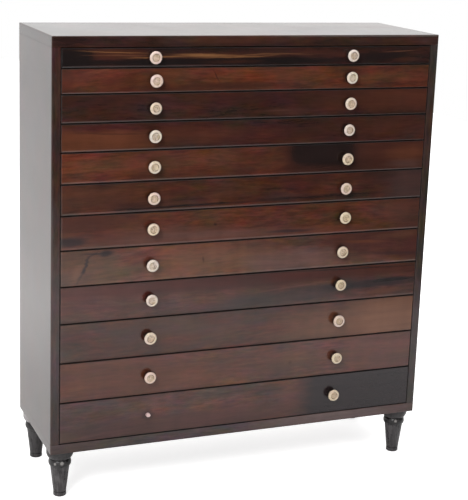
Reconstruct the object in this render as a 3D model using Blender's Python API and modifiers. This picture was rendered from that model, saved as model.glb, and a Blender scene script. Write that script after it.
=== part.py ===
"""A collectors chest: a shallow case of twelve graduated drawers on four turned legs.

The chest stands on the floor at z = 0, with its front towards -Y and its width along X.
The centre of its overall box, knobs included, is at x = 0, y = 0. Lengths are in metres.
"""

import math

import bmesh
import bpy
from mathutils import Matrix, Vector

# Overall sizes
WIDTH = 0.800
DEPTH = 0.262
CARCASE_HEIGHT = 0.810
LEG_HEIGHT = 0.099

# Boards of the carcase
TOP_THICKNESS = 0.0205
BOTTOM_THICKNESS = 0.0195
SIDE_THICKNESS = 0.0168
BACK_THICKNESS = 0.008
BACK_LAP = 0.007
BACK_BOARD_NAMES = ("back_board_left", "back_board_middle", "back_board_right")
BACK_BOARD_SPACING = 0.0008
TONGUE_THICKNESS = 0.008
TONGUE_LENGTH = 0.006
TONGUE_SETBACK = 0.014

# Clearances and small sizes
JOINT_GAP = 0.0003
OVERRUN = 0.002
ARRIS = 0.0009
ARRIS_STEPS = 2
WELD = 0.00001

# Drawers, from the top down: each height is a share of what the gaps leave
HEIGHT_SHARES = (37, 47.5, 54, 54, 60, 60, 67, 71, 74, 79, 81, 84.5)
KNOB_LEVEL_SHARES = (0.52, 0.50, 0.49, 0.51, 0.48, 0.47, 0.52, 0.475, 0.51, 0.50, 0.48, 0.495)
DRAWER_SPACING = 0.0016
SIDE_PLAY = 0.0009
FRONT_THICKNESS = 0.013
TRAY_SIDE_THICKNESS = 0.010
TRAY_BACK_THICKNESS = 0.007
TRAY_BOTTOM_THICKNESS = 0.004
TRAY_BOTTOM_RAISE = 0.003
TRAY_TOP_DROP = 0.0025
TRAY_LIFT = 0.0008
REAR_ROOM = 0.006

# The tongue of a drawer's bottom, in the groove behind its front
FEATHER_THICKNESS = 0.0024
FEATHER_LENGTH = 0.005
FEATHER_SHOULDER = 0.004

# Dovetails that join a drawer's sides to its front
TAIL_PITCH = 0.024
TAIL_LENGTH = 0.009
PIN_WIDTH = 0.004
TAIL_SLOPE = 1 / 6

# Runner strips on the carcase sides, in the grooves of the drawer sides
RUNNER_THICKNESS = 0.005
RUNNER_REACH = 0.0055
RUNNER_ROOM = 0.0005

# Turned bone knobs
KNOB_SPREAD = 0.407
KNOB_RADIUS = 0.0124
KNOB_REACH = 0.016
KNOB_HEAD = 0.0050
KNOB_UNDER_RADIUS = 0.0114
KNOB_ROUNDING = 0.0025
KNOB_DISH_RADIUS = 0.0078
KNOB_DISH_DEPTH = 0.0019
KNOB_NECK_RADIUS = 0.0052
KNOB_NECK_HEIGHT = 0.0042
KNOB_FOOT_RADIUS = 0.0066
SHANK_RADIUS = 0.004
STUB_REACH = 0.0062
STUB_BREAK_SLOPE = 0.45
KNOB_STEPS = 16

# Knobs that were set a little off their line: drawer number and side, with the shift along X
KNOB_SHIFTS = {(1, -1): -0.0024, (7, 1): 0.0018, (10, -1): -0.0015, (12, 1): -0.0028}

# Turned legs
LEG_INSET_X = 0.027
LEG_INSET_Y = 0.032
FLANGE_RADIUS = 0.0267
FLANGE_BAND = 0.0095
FLANGE_SWEEP = 0.0105
NECK_RADIUS = 0.0194
RING_RADIUS = 0.0224
RING_THICKNESS = 0.0145
SHOULDER_RADIUS = 0.0191
ANKLE_RADIUS = 0.0128
CUFF_HEIGHT = 0.0088
CUFF_GROOVE = 0.0005
FOOT_ROUNDING = 0.0018
TENON_RADIUS = 0.009
TENON_LENGTH = 0.014
LEG_STEPS = 20
ARC_STEPS = 3

# Places worked out from the sizes above
HEIGHT = LEG_HEIGHT + CARCASE_HEIGHT
FRONT_Y = -(DEPTH - KNOB_REACH) / 2
BACK_Y = FRONT_Y + DEPTH
BACK_INSIDE_Y = BACK_Y - BACK_THICKNESS
INSIDE_X = WIDTH / 2 - SIDE_THICKNESS
FLOOR_Z = LEG_HEIGHT + BOTTOM_THICKNESS
CEILING_Z = HEIGHT - TOP_THICKNESS
DRAWER_X = INSIDE_X - SIDE_PLAY
TRAY_INSIDE_X = DRAWER_X - TRAY_SIDE_THICKNESS
SHOULDER_Y = FRONT_THICKNESS + JOINT_GAP
TRAY_END_Y = DEPTH - BACK_THICKNESS - REAR_ROOM

# Colours, as the eye sees them (0 to 255), with the roughness of each finish
FINISHES = {
    "side_mahogany": ((92, 66, 56), 0.35),
    "inner_oak": ((168, 132, 92), 0.60),
    "back_pine": ((120, 88, 60), 0.75),
    "turned_leg": ((62, 56, 54), 0.40),
    "bone": ((234, 216, 194), 0.40),
    "front_near_black": ((48, 32, 28), 0.30),
    "front_red_brown": ((98, 52, 36), 0.30),
    "front_plum_brown": ((74, 40, 38), 0.30),
    "front_faded_brown": ((104, 70, 58), 0.35),
}
FRONT_FINISHES = (
    "front_near_black", "front_red_brown", "front_plum_brown", "front_red_brown",
    "front_red_brown", "front_plum_brown", "front_red_brown", "front_faded_brown",
    "front_plum_brown", "front_faded_brown", "front_faded_brown", "front_faded_brown",
)


def clear_scene():
    for existing in list(bpy.data.objects):
        bpy.data.objects.remove(existing, do_unlink=True)


def linear(value):
    """One colour channel from 0 to 255, turned into the scene's linear light."""
    share = value / 255
    if share <= 0.04045:
        return share / 12.92
    return ((share + 0.055) / 1.055) ** 2.4


def make_finish(name):
    colour, roughness = FINISHES[name]
    material = bpy.data.materials.new(name)
    material.use_nodes = True
    shader = material.node_tree.nodes["Principled BSDF"]
    shader.inputs["Base Color"].default_value = (*[linear(value) for value in colour], 1)
    shader.inputs["Roughness"].default_value = roughness
    shader.inputs["Metallic"].default_value = 0
    return material


def add_box(mesh, low, high):
    """Adds a box between two corners and returns its vertices."""
    low = Vector(low)
    high = Vector(high)
    place = Matrix.Translation((low + high) / 2) @ Matrix.Diagonal((*(high - low), 1))
    return bmesh.ops.create_cube(mesh, size=1, matrix=place)["verts"]


def add_rod(mesh, centre, radius, reach_back, reach_front, steps):
    """Adds a rod along Y around a centre, for a round hole."""
    middle = Vector(centre) + Vector((0, (reach_back - reach_front) / 2, 0))
    place = Matrix.Translation(middle) @ Matrix.Rotation(math.pi / 2, 4, "X")
    bmesh.ops.create_cone(
        mesh, cap_ends=True, segments=steps, radius1=radius, radius2=radius,
        depth=reach_back + reach_front, matrix=place,
    )


def on_side(vertex, low, high, side):
    """Tells whether a vertex lies on one side of a box, such as "x-" or "z+"."""
    axis = "xyz".index(side[0])
    bound = high[axis] if side[1] == "+" else low[axis]
    return abs(vertex.co[axis] - bound) < WELD


def round_edges(mesh, low, high, edge_sides):
    """Rounds the box edges in which the named pairs of sides meet."""
    chosen = [
        edge for edge in mesh.edges
        if any(all(on_side(end, low, high, side) for end in edge.verts for side in pair)
               for pair in edge_sides)
    ]
    bmesh.ops.bevel(
        mesh, geom=chosen, offset=ARRIS, offset_type="OFFSET",
        segments=ARRIS_STEPS, profile=0.5, affect="EDGES",
    )


def to_object(name, mesh, finish, parent=None, location=(0, 0, 0), cutter=False):
    """Turns modelled geometry into a named object in its collection."""
    bmesh.ops.recalc_face_normals(mesh, faces=mesh.faces)
    data = bpy.data.meshes.new(name)
    mesh.to_mesh(data)
    mesh.free()
    return place_object(name, data, finish, parent, location, cutter)


def place_object(name, data, finish, parent=None, location=(0, 0, 0), cutter=False):
    piece = bpy.data.objects.new(name, data)
    piece.location = location
    piece.parent = parent
    if cutter:
        piece.hide_render = True
        piece.display_type = "WIRE"
        cutters_collection.objects.link(piece)
        return piece
    if not data.materials:
        data.materials.append(None)
    piece.material_slots[0].link = "OBJECT"
    piece.material_slots[0].material = finish
    chest_collection.objects.link(piece)
    return piece


def combine(target, tool, operation):
    modifier = target.modifiers.new(tool.name, "BOOLEAN")
    modifier.object = tool
    modifier.operation = operation
    modifier.solver = "EXACT"


def cut(target, tool):
    combine(target, tool, "DIFFERENCE")


def join(target, tool):
    combine(target, tool, "UNION")


def arc(centre, radii, start, end, steps=ARC_STEPS):
    """Points of an elliptical arc as (radius, height), from one angle to another."""
    points = []
    for step in range(steps + 1):
        angle = math.radians(start + (end - start) * step / steps)
        points.append((
            centre[0] + radii[0] * math.cos(angle),
            centre[1] + radii[1] * math.sin(angle),
        ))
    return points


def sweep(start, end, steps=ARC_STEPS):
    """A shallow quarter-round between two points: halfway from a straight line to an arc."""
    reach = start[0] - end[0]
    drop = start[1] - end[1]
    full = arc((end[0], start[1]), (reach, drop), 0, -90, steps)
    points = []
    for step, (radius, height) in enumerate(full):
        share = step / steps
        points.append((
            (radius + start[0] - reach * share) / 2,
            (height + start[1] - drop * share) / 2,
        ))
    return points


def outline_mesh(name, outline):
    """The open outline of a turned piece, from the top of its axis down its outer side."""
    data = bpy.data.meshes.new(name)
    points = [(radius, 0, height) for radius, height in outline]
    edges = [(index, index + 1) for index in range(len(points) - 1)]
    data.from_pydata(points, edges, [])
    return data


def turn(piece, steps):
    """Turns an outline into a solid around its object's Z axis."""
    lathe = piece.modifiers.new("lathe", "SCREW")
    lathe.axis = "Z"
    lathe.angle = 2 * math.pi
    lathe.steps = steps
    lathe.render_steps = steps
    lathe.use_merge_vertices = True
    lathe.merge_threshold = WELD
    lathe.use_smooth_shade = True


def drawer_bounds():
    """The lowest and highest z of each drawer front, from the top drawer down."""
    count = len(HEIGHT_SHARES)
    free_height = CEILING_Z - FLOOR_Z - DRAWER_SPACING * (count + 1)
    unit = free_height / sum(HEIGHT_SHARES)
    bounds = []
    top = CEILING_Z - DRAWER_SPACING
    for share in HEIGHT_SHARES:
        bottom = top - share * unit
        bounds.append((bottom, top))
        top = bottom - DRAWER_SPACING
    return bounds


def leg_places():
    """The foot of each leg, named by its corner."""
    places = {}
    for depth_name, y in (("front", FRONT_Y + LEG_INSET_Y), ("back", BACK_Y - LEG_INSET_Y)):
        for width_name, side in (("left", -1), ("right", 1)):
            x = side * (WIDTH / 2 - LEG_INSET_X)
            places[f"leg_{depth_name}_{width_name}"] = (x, y, 0)
    return places


def make_level_board(name, low_z, high_z, outer, inner):
    """The top or the bottom board, with housings for the sides and a rebate for the back."""
    low = (-WIDTH / 2, FRONT_Y, low_z)
    high = (WIDTH / 2, BACK_Y, high_z)
    mesh = bmesh.new()
    add_box(mesh, low, high)
    corners = [("y-", "x-"), ("y-", "x+"), ("y+", "x-"), ("y+", "x+")]
    rims = [(outer, side) for side in ("x-", "x+", "y-", "y+")]
    round_edges(mesh, low, high, corners + rims)
    board = to_object(name, mesh, finishes["side_mahogany"])

    inner_z = low_z if inner == "below" else high_z
    deeper = 1 if inner == "below" else -1
    mesh = bmesh.new()
    for side in (-1, 1):
        middle = side * (WIDTH - SIDE_THICKNESS) / 2
        reach = TONGUE_THICKNESS / 2 + JOINT_GAP
        ends = sorted((inner_z - deeper * OVERRUN, inner_z + deeper * (TONGUE_LENGTH + JOINT_GAP)))
        add_box(
            mesh,
            (middle - reach, FRONT_Y + TONGUE_SETBACK - JOINT_GAP, ends[0]),
            (middle + reach, BACK_INSIDE_Y - JOINT_GAP, ends[1]),
        )
    cut(board, to_object(f"{name}_housings", mesh, None, cutter=True))

    mesh = bmesh.new()
    ends = sorted((inner_z - deeper * OVERRUN, inner_z + deeper * (BACK_LAP + JOINT_GAP)))
    lap_x = INSIDE_X + BACK_LAP + JOINT_GAP
    add_box(
        mesh,
        (-lap_x, BACK_INSIDE_Y - JOINT_GAP, ends[0]),
        (lap_x, BACK_Y + OVERRUN, ends[1]),
    )
    cut(board, to_object(f"{name}_rebate", mesh, None, cutter=True))
    return board


def make_leg_holes(board):
    """Blind holes in the bottom board's underside for the tenons of the legs."""
    mesh = bmesh.new()
    depth = TENON_LENGTH + JOINT_GAP + OVERRUN
    for x, y, _ in leg_places().values():
        centre = (x, y, LEG_HEIGHT - OVERRUN + depth / 2)
        bmesh.ops.create_cone(
            mesh, cap_ends=True, segments=LEG_STEPS, radius1=TENON_RADIUS + JOINT_GAP,
            radius2=TENON_RADIUS + JOINT_GAP, depth=depth, matrix=Matrix.Translation(centre),
        )
    cut(board, to_object("leg_holes", mesh, None, cutter=True))


def make_side_board(name, side):
    """A side of the case, with its end tongues, back rebate and runner strips."""
    outside = side * WIDTH / 2
    inside = side * INSIDE_X
    low_x, high_x = sorted((outside, inside))
    low = (low_x, FRONT_Y, FLOOR_Z + JOINT_GAP)
    high = (high_x, BACK_Y, CEILING_Z - JOINT_GAP)
    mesh = bmesh.new()
    add_box(mesh, low, high)
    round_edges(mesh, low, high, [("y-", "x-"), ("y-", "x+"), ("y+", "x-" if side < 0 else "x+")])
    board = to_object(name, mesh, finishes["side_mahogany"])

    mesh = bmesh.new()
    middle = (outside + inside) / 2
    for end, outward in ((low[2], -1), (high[2], 1)):
        levels = sorted((end - outward * OVERRUN, end + outward * (TONGUE_LENGTH - JOINT_GAP)))
        add_box(
            mesh,
            (middle - TONGUE_THICKNESS / 2, FRONT_Y + TONGUE_SETBACK, levels[0]),
            (middle + TONGUE_THICKNESS / 2, BACK_INSIDE_Y - 2 * JOINT_GAP, levels[1]),
        )
    join(board, to_object(f"{name}_tongues", mesh, None, cutter=True))

    mesh = bmesh.new()
    reach = sorted((inside + side * OVERRUN, inside - side * RUNNER_REACH))
    for bottom, top in drawer_bounds():
        level = (bottom + top) / 2
        add_box(
            mesh,
            (reach[0], FRONT_Y + SHOULDER_Y + JOINT_GAP, level - RUNNER_THICKNESS / 2),
            (reach[1], BACK_INSIDE_Y - 2 * JOINT_GAP, level + RUNNER_THICKNESS / 2),
        )
    join(board, to_object(f"{name}_runners", mesh, None, cutter=True))

    mesh = bmesh.new()
    lap = sorted((inside - side * OVERRUN, inside + side * (BACK_LAP + JOINT_GAP)))
    add_box(
        mesh,
        (lap[0], BACK_INSIDE_Y - JOINT_GAP, low[2] - OVERRUN),
        (lap[1], BACK_Y + OVERRUN, high[2] + OVERRUN),
    )
    cut(board, to_object(f"{name}_rebate", mesh, None, cutter=True))


def make_back_boards():
    """Upright boards side by side in the rebates at the back."""
    full = 2 * (INSIDE_X + BACK_LAP)
    count = len(BACK_BOARD_NAMES)
    width = (full - BACK_BOARD_SPACING * (count - 1)) / count
    for index, name in enumerate(BACK_BOARD_NAMES):
        start = -full / 2 + index * (width + BACK_BOARD_SPACING)
        mesh = bmesh.new()
        add_box(
            mesh,
            (start, BACK_INSIDE_Y, FLOOR_Z - BACK_LAP),
            (start + width, BACK_Y, CEILING_Z + BACK_LAP),
        )
        to_object(name, mesh, finishes["back_pine"])


def leg_outline():
    """The leg's outline from the top of its tenon down to the middle of its foot."""
    top = LEG_HEIGHT - JOINT_GAP
    band_end = top - FLANGE_BAND
    neck = band_end - FLANGE_SWEEP
    ring_middle = neck - RING_THICKNESS / 2
    ring_end = neck - RING_THICKNESS
    foot_radius = ANKLE_RADIUS - FOOT_ROUNDING
    outline = [(0, LEG_HEIGHT + TENON_LENGTH), (TENON_RADIUS, LEG_HEIGHT + TENON_LENGTH)]
    outline += [(TENON_RADIUS, top), (FLANGE_RADIUS, top)]
    outline += sweep((FLANGE_RADIUS, band_end), (NECK_RADIUS, neck))
    outline += arc((NECK_RADIUS, ring_middle), (RING_RADIUS - NECK_RADIUS, RING_THICKNESS / 2), 60, -60)
    outline += [(SHOULDER_RADIUS, ring_end)]
    outline += [(ANKLE_RADIUS, CUFF_HEIGHT + CUFF_GROOVE), (ANKLE_RADIUS - CUFF_GROOVE, CUFF_HEIGHT)]
    outline += [(ANKLE_RADIUS, CUFF_HEIGHT - CUFF_GROOVE)]
    outline += arc((foot_radius, FOOT_ROUNDING), (FOOT_ROUNDING, FOOT_ROUNDING), 0, -90, 2)
    outline += [(0, 0)]
    return outline


def make_legs():
    data = outline_mesh("turned_leg", leg_outline())
    for name, place in leg_places().items():
        turn(place_object(name, data, finishes["turned_leg"], location=place), LEG_STEPS)


def shank_outline():
    """The part of a knob's outline that lies in the drawer front."""
    return [
        (SHANK_RADIUS, JOINT_GAP),
        (SHANK_RADIUS, -FRONT_THICKNESS),
        (0, -FRONT_THICKNESS),
    ]


def knob_outline():
    """A dished knob, from the middle of its face down to the end of its shank."""
    dish = KNOB_REACH - KNOB_DISH_DEPTH
    rim = KNOB_RADIUS - KNOB_ROUNDING
    outline = [(0, dish), (KNOB_DISH_RADIUS, dish)]
    outline += arc((rim, KNOB_REACH - KNOB_ROUNDING), (KNOB_ROUNDING, KNOB_ROUNDING), 90, 0, 2)
    outline += [(KNOB_UNDER_RADIUS, KNOB_REACH - KNOB_HEAD)]
    outline += [(KNOB_NECK_RADIUS, KNOB_NECK_HEIGHT), (KNOB_FOOT_RADIUS, JOINT_GAP)]
    return outline + shank_outline()


def stub_outline():
    """What is left of a knob that broke off: its shank and a little of its neck."""
    return [(0, STUB_REACH), (SHANK_RADIUS, STUB_REACH)] + shank_outline()


def make_stub(name, data, parent, place):
    """A broken shank whose end slopes where the knob came off."""
    stub = place_object(name, data, finishes["bone"], parent, place)
    stub.rotation_euler.x = math.pi / 2
    turn(stub, KNOB_STEPS)
    mesh = bmesh.new()
    size = 4 * SHANK_RADIUS
    add_box(mesh, (-size, -size, 0), (size, size, size))
    tool = to_object(f"{name}_break", mesh, None, parent, place, cutter=True)
    tool.location.y -= STUB_REACH - SHANK_RADIUS / 2
    tool.rotation_euler = (math.pi / 2, STUB_BREAK_SLOPE, 0)
    cut(stub, tool)


def tail_levels(low_z, high_z):
    """The middle heights of a corner's dovetails and half the width of a tail's end."""
    height = high_z - low_z
    count = max(1, round(height / TAIL_PITCH))
    pitch = height / count
    levels = [low_z + pitch * (index + 1 / 2) for index in range(count)]
    return levels, (pitch - PIN_WIDTH) / 2


def add_tails(mesh, low_z, high_z, back_y, room, outer_room):
    """Dovetails at both ends: room makes them sockets that clear the tails all round."""
    front_y = FRONT_THICKNESS - TAIL_LENGTH - room
    levels, half_end = tail_levels(low_z, high_z)
    for side in (-1, 1):
        ends = sorted((side * (TRAY_INSIDE_X - room), side * (DRAWER_X + outer_room)))
        for level in levels:
            half_front = half_end + room
            half_back = half_front - TAIL_SLOPE * (back_y - front_y)
            low = (ends[0], front_y, level - half_front)
            high = (ends[1], back_y, level + half_front)
            for vertex in add_box(mesh, low, high):
                if vertex.co.y > (front_y + back_y) / 2:
                    vertex.co.z = level + (vertex.co.z - level) * half_back / half_front


def make_front(name, parent, low_z, high_z, knob_places, finish):
    """A drawer front with lapped dovetail sockets, a groove for the bottom and knob holes."""
    low = (-DRAWER_X, 0, low_z)
    high = (DRAWER_X, FRONT_THICKNESS, high_z)
    mesh = bmesh.new()
    add_box(mesh, low, high)
    round_edges(mesh, low, high, [("y-", side) for side in ("x-", "x+", "z-", "z+")])
    front = to_object(name, mesh, finish, parent)

    tray_low = low_z + TRAY_LIFT
    feather_low = tray_low + TRAY_BOTTOM_RAISE - JOINT_GAP
    feather_x = TRAY_INSIDE_X - FEATHER_SHOULDER + JOINT_GAP
    mesh = bmesh.new()
    add_tails(mesh, tray_low, high_z - TRAY_TOP_DROP, FRONT_THICKNESS + OVERRUN, JOINT_GAP, OVERRUN)
    add_box(
        mesh,
        (-feather_x, FRONT_THICKNESS - FEATHER_LENGTH - JOINT_GAP, feather_low),
        (feather_x, FRONT_THICKNESS + OVERRUN, feather_low + FEATHER_THICKNESS + 2 * JOINT_GAP),
    )
    for place in knob_places:
        add_rod(
            mesh, place, SHANK_RADIUS + JOINT_GAP,
            FRONT_THICKNESS + OVERRUN, OVERRUN, KNOB_STEPS,
        )
    cut(front, to_object(f"{name}_cuts", mesh, None, parent, cutter=True))


def make_tray(name, parent, low_z, high_z):
    """A drawer's sides, back and bottom, with its dovetails and runner grooves."""
    low_z += TRAY_LIFT
    high_z -= TRAY_TOP_DROP
    bottom_top = low_z + TRAY_BOTTOM_RAISE + TRAY_BOTTOM_THICKNESS
    mesh = bmesh.new()
    add_box(mesh, (-DRAWER_X, SHOULDER_Y, low_z), (DRAWER_X, TRAY_END_Y, high_z))
    tray = to_object(name, mesh, finishes["inner_oak"], parent)

    mesh = bmesh.new()
    add_tails(mesh, low_z, high_z, SHOULDER_Y + OVERRUN, 0, 0)
    feather_x = TRAY_INSIDE_X - FEATHER_SHOULDER
    feather_low = low_z + TRAY_BOTTOM_RAISE
    add_box(
        mesh,
        (-feather_x, FRONT_THICKNESS - FEATHER_LENGTH, feather_low),
        (feather_x, SHOULDER_Y + OVERRUN, feather_low + FEATHER_THICKNESS),
    )
    join(tray, to_object(f"{name}_tails", mesh, None, parent, cutter=True))

    mesh = bmesh.new()
    add_box(
        mesh,
        (-TRAY_INSIDE_X, SHOULDER_Y - OVERRUN, bottom_top),
        (TRAY_INSIDE_X, TRAY_END_Y - TRAY_BACK_THICKNESS, high_z + OVERRUN),
    )
    add_box(
        mesh,
        (-TRAY_INSIDE_X, SHOULDER_Y - OVERRUN, low_z - OVERRUN),
        (TRAY_INSIDE_X, TRAY_END_Y + OVERRUN, low_z + TRAY_BOTTOM_RAISE),
    )
    groove_x = INSIDE_X - RUNNER_REACH - RUNNER_ROOM
    half_runner = RUNNER_THICKNESS / 2
    for side in (-1, 1):
        ends = sorted((side * groove_x, side * (DRAWER_X + OVERRUN)))
        add_box(
            mesh,
            (ends[0], SHOULDER_Y, -half_runner - RUNNER_ROOM),
            (ends[1], TRAY_END_Y + OVERRUN, half_runner + JOINT_GAP),
        )
    cut(tray, to_object(f"{name}_cuts", mesh, None, parent, cutter=True))


def make_drawer(number, low_z, high_z, level_share, finish):
    """One drawer, around an empty at the middle of its front face, on its line of travel."""
    name = f"drawer_{number:02d}"
    slide = bpy.data.objects.new(name, None)
    slide.location = (0, FRONT_Y, (low_z + high_z) / 2)
    chest_collection.objects.link(slide)
    half = (high_z - low_z) / 2
    knob_z = (2 * level_share - 1) * half
    knob_places = [
        (side * KNOB_SPREAD / 2 + KNOB_SHIFTS.get((number, side), 0), 0, knob_z) for side in (-1, 1)
    ]
    make_front(f"{name}_front", slide, -half, half, knob_places, finish)
    make_tray(f"{name}_tray", slide, -half, half)
    for side_name, place in zip(("left", "right"), knob_places):
        knob_name = f"{name}_knob_{side_name}"
        if number == len(HEIGHT_SHARES) and side_name == "left":
            make_stub(knob_name, stub_mesh, slide, place)
            continue
        knob = place_object(knob_name, knob_mesh, finishes["bone"], slide, place)
        knob.rotation_euler.x = math.pi / 2
        turn(knob, KNOB_STEPS)


clear_scene()
chest_collection = bpy.data.collections.new("collectors_chest")
cutters_collection = bpy.data.collections.new("cutters")
for collection in (chest_collection, cutters_collection):
    bpy.context.scene.collection.children.link(collection)
finishes = {name: make_finish(name) for name in FINISHES}
knob_mesh = outline_mesh("bone_knob", knob_outline())
stub_mesh = outline_mesh("bone_stub", stub_outline())

make_level_board("carcase_top", CEILING_Z, HEIGHT, "z+", "below")
make_leg_holes(make_level_board("carcase_bottom", LEG_HEIGHT, FLOOR_Z, "z-", "above"))
make_side_board("carcase_side_left", -1)
make_side_board("carcase_side_right", 1)
make_back_boards()
make_legs()
for index, (bottom, top) in enumerate(drawer_bounds()):
    make_drawer(
        index + 1, bottom, top, KNOB_LEVEL_SHARES[index], finishes[FRONT_FINISHES[index]],
    )
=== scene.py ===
# %% [markdown]
# # A collectors chest
#
# The object is a shallow case of twelve drawers, each a little taller than the one above, with
# turned bone knobs and four turned legs. Its wood is old polished mahogany: every drawer front
# was cut from another board, so no two have the same colour or figure.
#
# The construction comes in as a fixed frame: boards, drawers, knobs and legs at their real size,
# in metres. This script gives each surface its finish, and makes the turned pieces again with
# the fine outline that a lathe gives them.

# %% Load the chest
import math
from collections import namedtuple

import bpy
from mathutils import Euler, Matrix, Vector, noise as solid_noise


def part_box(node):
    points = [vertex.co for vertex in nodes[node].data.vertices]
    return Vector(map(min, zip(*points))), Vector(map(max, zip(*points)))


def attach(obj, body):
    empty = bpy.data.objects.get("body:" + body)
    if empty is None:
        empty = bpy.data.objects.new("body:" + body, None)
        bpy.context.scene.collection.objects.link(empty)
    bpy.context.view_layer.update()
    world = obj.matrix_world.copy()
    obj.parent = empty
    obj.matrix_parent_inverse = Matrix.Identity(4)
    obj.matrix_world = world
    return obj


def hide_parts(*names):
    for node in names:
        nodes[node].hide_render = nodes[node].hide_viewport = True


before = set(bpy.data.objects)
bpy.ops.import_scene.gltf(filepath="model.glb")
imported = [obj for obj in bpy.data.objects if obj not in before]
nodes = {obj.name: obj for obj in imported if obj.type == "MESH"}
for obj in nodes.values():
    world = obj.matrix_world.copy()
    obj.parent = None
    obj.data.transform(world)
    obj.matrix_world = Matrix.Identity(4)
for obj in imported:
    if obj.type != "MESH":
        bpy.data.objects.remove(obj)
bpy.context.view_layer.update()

# %% [markdown]
# ## The camera
#
# The photograph was taken from the left and from a little above the top of the chest. The
# camera below was found by fitting the chest's corners, drawer lines and knobs to the picture,
# so its place and turn are given as plain numbers. A small shift does what the photographer did
# by cropping: the chest sits in the frame without being seen from straight on.

# %% Camera
PHOTO_LONG_SIDE = 500
FOCAL_LENGTH_IN_PIXELS = 1322.0
SENSOR_WIDTH_MM = 36.0
CAMERA_PLACE = (-0.9933, -2.4584, 1.1512)
CAMERA_TURN_DEGREES = (76.797, -2.018, -21.887)
CAMERA_SHIFT = (-0.0011, -0.0711)

scene = bpy.context.scene
camera = bpy.data.objects.new("camera", bpy.data.cameras.new("camera"))
camera.location = CAMERA_PLACE
camera.rotation_euler = Euler([math.radians(angle) for angle in CAMERA_TURN_DEGREES])
camera.data.sensor_width = SENSOR_WIDTH_MM
camera.data.lens = FOCAL_LENGTH_IN_PIXELS * SENSOR_WIDTH_MM / PHOTO_LONG_SIDE
camera.data.shift_x, camera.data.shift_y = CAMERA_SHIFT
scene.collection.objects.link(camera)
scene.camera = camera
scene.view_settings.view_transform = "Standard"
print(f"The lens is {camera.data.lens:.1f} mm long")

# %% [markdown]
# ## Helpers for nodes
#
# A material is a graph, and a graph reads best when each line adds one node together with what
# feeds it. `put` adds a node, sets its properties and fills its inputs. What fills an input is a
# plain value, a socket of another node, or the other node itself, which stands for its first
# output. The short functions after it name the few kinds used most. They need no tree, because a
# node or socket knows the tree that it is in.

# %% Node helpers
def fill(node, inputs):
    """Fills the inputs of a node with values, sockets or other nodes."""
    for name, value in inputs.items():
        if isinstance(value, bpy.types.Node):
            value = value.outputs[0]
        if isinstance(value, bpy.types.NodeSocket):
            node.id_data.links.new(value, node.inputs[name])
        else:
            node.inputs[name].default_value = value


def put(tree, kind, inputs=None, **settings):
    """Adds a node, sets its properties and fills its inputs."""
    made = tree.nodes.new(kind)
    for name, value in settings.items():
        setattr(made, name, value)
    fill(made, inputs or {})
    return made


def put_beside(kind, inputs, **settings):
    """Adds a node to the tree that one of its inputs comes from."""
    tree = next(value.id_data for value in inputs.values() if hasattr(value, "id_data"))
    return put(tree, kind, inputs, **settings)


def maths(operation, *values):
    return put_beside("ShaderNodeMath", dict(enumerate(values)), operation=operation)


def plus(*values):
    return maths("ADD", *values)


def minus(*values):
    return maths("SUBTRACT", *values)


def times(*values):
    return maths("MULTIPLY", *values)


def vector_maths(operation, *values):
    return put_beside("ShaderNodeVectorMath", dict(enumerate(values)), operation=operation)


def stretch(vector, sizes):
    """Squeezes a space by an amount on each axis, so that a pattern in it is drawn out."""
    return vector_maths("MULTIPLY", vector, sizes)


def scaled(vector, factor):
    return put_beside("ShaderNodeVectorMath", {0: vector, "Scale": factor}, operation="SCALE")


def xyz(x, y, z):
    return put_beside("ShaderNodeCombineXYZ", {0: x, 1: y, 2: z})


def parts(vector):
    """The sockets of a vector's X, Y and Z."""
    return put_beside("ShaderNodeSeparateXYZ", {0: vector}).outputs


def blend(share, first, second):
    """A colour between two others, nearer to the second where the share is larger."""
    inputs = {0: share, 6: first, 7: second}
    return put_beside("ShaderNodeMix", inputs, data_type="RGBA", clamp_factor=True).outputs[2]


def fade(value, start, end, low=0.0, high=1.0):
    """A value that goes smoothly from low to high while another goes from start to end."""
    inputs = {"Value": value, "From Min": start, "From Max": end, "To Min": low, "To Max": high}
    return put_beside("ShaderNodeMapRange", inputs, interpolation_type="SMOOTHSTEP")


def noise(vector, size, detail=2.0, roughness=0.5):
    """Noise whose size is one number, or a number for each axis."""
    if isinstance(size, tuple):
        vector, size = stretch(vector, size), 1.0
    inputs = {"Vector": vector, "Scale": size, "Detail": detail, "Roughness": roughness}
    return put_beside("ShaderNodeTexNoise", inputs)


def linear(colour):
    """A colour as the eye reads it (0 to 255), turned into the light that it reflects."""
    shares = [value / 255 for value in colour]
    light = [v / 12.92 if v <= 0.04045 else ((v + 0.055) / 1.055) ** 2.4 for v in shares]
    return (*light, 1.0)


FLOAT = "NodeSocketFloat"
VECTOR = "NodeSocketVector"
COLOUR = "NodeSocketColor"
GEOMETRY = "NodeSocketGeometry"
KINDS = {float: FLOAT, int: "NodeSocketInt", tuple: COLOUR}


def new_group(name, kind, inputs, outputs):
    """A node group, and the sockets inside it that give it its inputs.

    An input is described by its usual value, or by its kind alone.
    """
    group = bpy.data.node_groups.new(name, kind)
    for socket_name, value in inputs.items():
        socket_kind = KINDS.get(type(value), value)
        socket = group.interface.new_socket(socket_name, in_out="INPUT", socket_type=socket_kind)
        if socket_kind != value:
            socket.default_value = value
    for socket_name, socket_kind in outputs.items():
        group.interface.new_socket(socket_name, in_out="OUTPUT", socket_type=socket_kind)
    return group, put(group, "NodeGroupInput").outputs


def new_material(name):
    """A new material, its tree, its shader and the place on the object."""
    material = bpy.data.materials.new(name)
    material.use_nodes = True
    tree = material.node_tree
    return material, tree, tree.nodes["Principled BSDF"], put(tree, "ShaderNodeTexCoord").outputs["Object"]


def finish_shader(shader, colour, roughness, relief):
    """Gives a shader its colour, its roughness and a relief whose heights are in metres."""
    bump = put_beside("ShaderNodeBump", {"Height": relief, "Strength": 1.0, "Distance": 1.0})
    fill(shader, {"Base Color": colour, "Roughness": roughness, "Normal": bump})


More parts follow.
